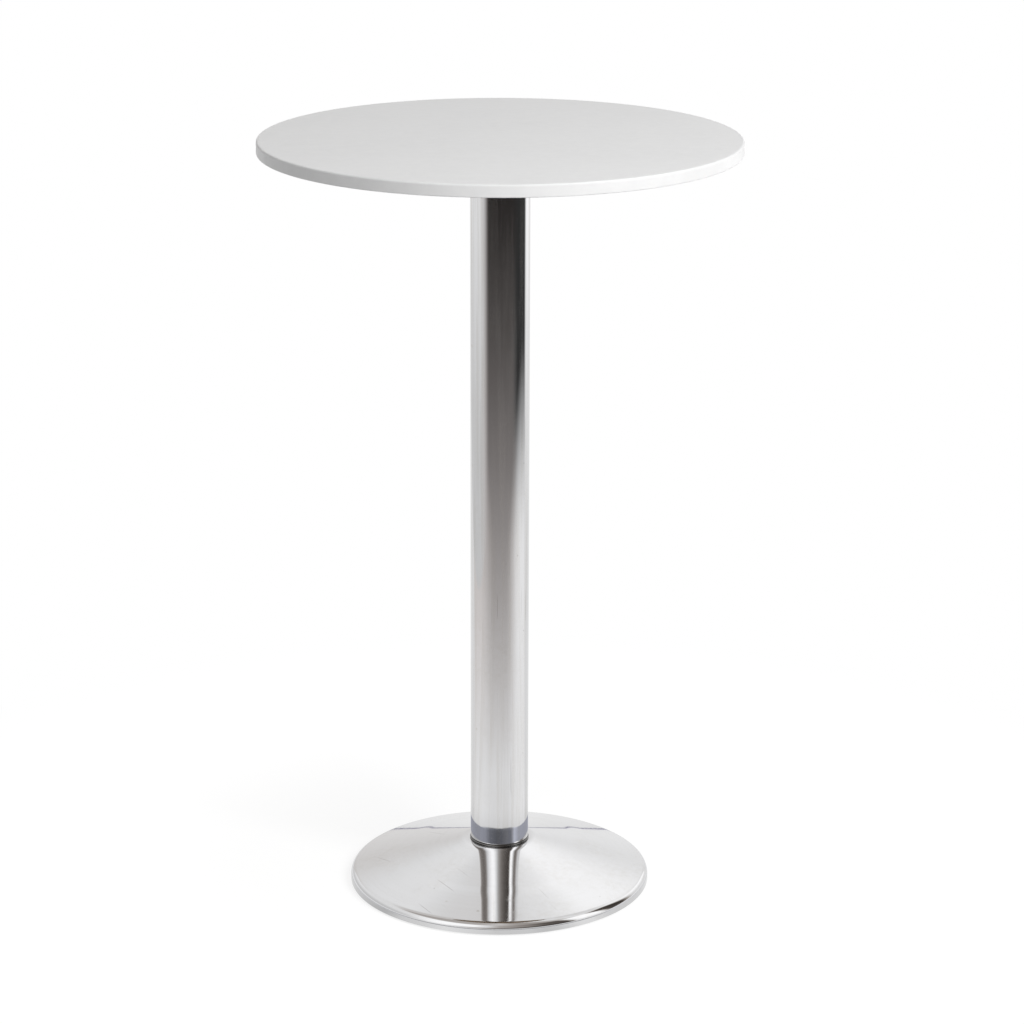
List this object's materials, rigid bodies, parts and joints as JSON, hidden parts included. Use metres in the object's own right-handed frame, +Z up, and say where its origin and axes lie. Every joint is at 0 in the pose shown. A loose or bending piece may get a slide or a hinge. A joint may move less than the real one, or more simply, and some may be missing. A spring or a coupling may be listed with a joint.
{
  "type": "pub table",
  "caption": "Round high pub table: white laminated top on a chromed tube column and a weighted conical chromed base, standing on screw-in levelling glides.",
  "frame": {"origin": "on the floor under the middle of the column", "axes": "+Z up along the column, X and Y level, with the glides on the diagonals"},
  "size_m": [0.61, 0.61, 0.995],
  "materials": {
    "white_laminate": "satin white high-pressure laminate with a very fine texture",
    "white_edging": "smooth white plastic edging",
    "brown_backer": "matt brown phenolic backer sheet",
    "particle_board": "raw particle board",
    "chrome_plate": "bright chrome plate on steel, lightly scuffed",
    "black_casting": "satin black paint on a casting",
    "grey_casting": "raw grey casting, primed",
    "zinc_steel": "bright zinc plate",
    "black_nylon": "moulded black nylon"
  },
  "bodies": {
    "table": {"top_core": "particle_board", "top_laminate": "white_laminate", "backer_laminate": "brown_backer", "edge_band": "white_edging", "spider_plate": "black_casting", "spider_screws": "zinc_steel", "column_tube": "chrome_plate", "upper_centring_cap": "black_nylon", "lower_centring_cap": "black_nylon", "tie_rod": "zinc_steel", "upper_nut": "zinc_steel", "upper_lock_washer": "zinc_steel", "upper_washer": "zinc_steel", "lower_nut": "zinc_steel", "lower_lock_washer": "zinc_steel", "lower_washer": "zinc_steel", "foot_collar": "chrome_plate", "base_cover": "chrome_plate", "ballast": "grey_casting"},
    "glide_1": {"glide_pad_1": "black_nylon"},
    "stud_1": {"glide_stud_1": "zinc_steel"},
    "glide_2": {"glide_pad_2": "black_nylon"},
    "stud_2": {"glide_stud_2": "zinc_steel"},
    "glide_3": {"glide_pad_3": "black_nylon"},
    "stud_3": {"glide_stud_3": "zinc_steel"},
    "glide_4": {"glide_pad_4": "black_nylon"},
    "stud_4": {"glide_stud_4": "zinc_steel"}
  },
  "joints": [
    {"name": "glide_1_travel", "type": "slide", "parent": "table", "child": "glide_1", "axis": [0, 0, -1], "range_m": [0, 0.006]},
    {"name": "stud_1_turn", "type": "hinge", "parent": "glide_1", "child": "stud_1", "pos_m": [0.10607, 0.10607, 0], "axis": [0, 0, -1], "range_deg": [0, 1720]},
    {"name": "glide_2_travel", "type": "slide", "parent": "table", "child": "glide_2", "axis": [0, 0, -1], "range_m": [0, 0.006]},
    {"name": "stud_2_turn", "type": "hinge", "parent": "glide_2", "child": "stud_2", "pos_m": [-0.10607, 0.10607, 0], "axis": [0, 0, -1], "range_deg": [0, 1720]},
    {"name": "glide_3_travel", "type": "slide", "parent": "table", "child": "glide_3", "axis": [0, 0, -1], "range_m": [0, 0.006]},
    {"name": "stud_3_turn", "type": "hinge", "parent": "glide_3", "child": "stud_3", "pos_m": [-0.10607, -0.10607, 0], "axis": [0, 0, -1], "range_deg": [0, 1720]},
    {"name": "glide_4_travel", "type": "slide", "parent": "table", "child": "glide_4", "axis": [0, 0, -1], "range_m": [0, 0.006]},
    {"name": "stud_4_turn", "type": "hinge", "parent": "glide_4", "child": "stud_4", "pos_m": [0.10607, -0.10607, 0], "axis": [0, 0, -1], "range_deg": [0, 1720]}
  ],
  "couplings": [
    {"joint": "glide_1_travel", "follows": "stud_1_turn", "m_per_rad": 0.00019894},
    {"joint": "glide_2_travel", "follows": "stud_2_turn", "m_per_rad": 0.00019894},
    {"joint": "glide_3_travel", "follows": "stud_3_turn", "m_per_rad": 0.00019894},
    {"joint": "glide_4_travel", "follows": "stud_4_turn", "m_per_rad": 0.00019894}
  ]
}
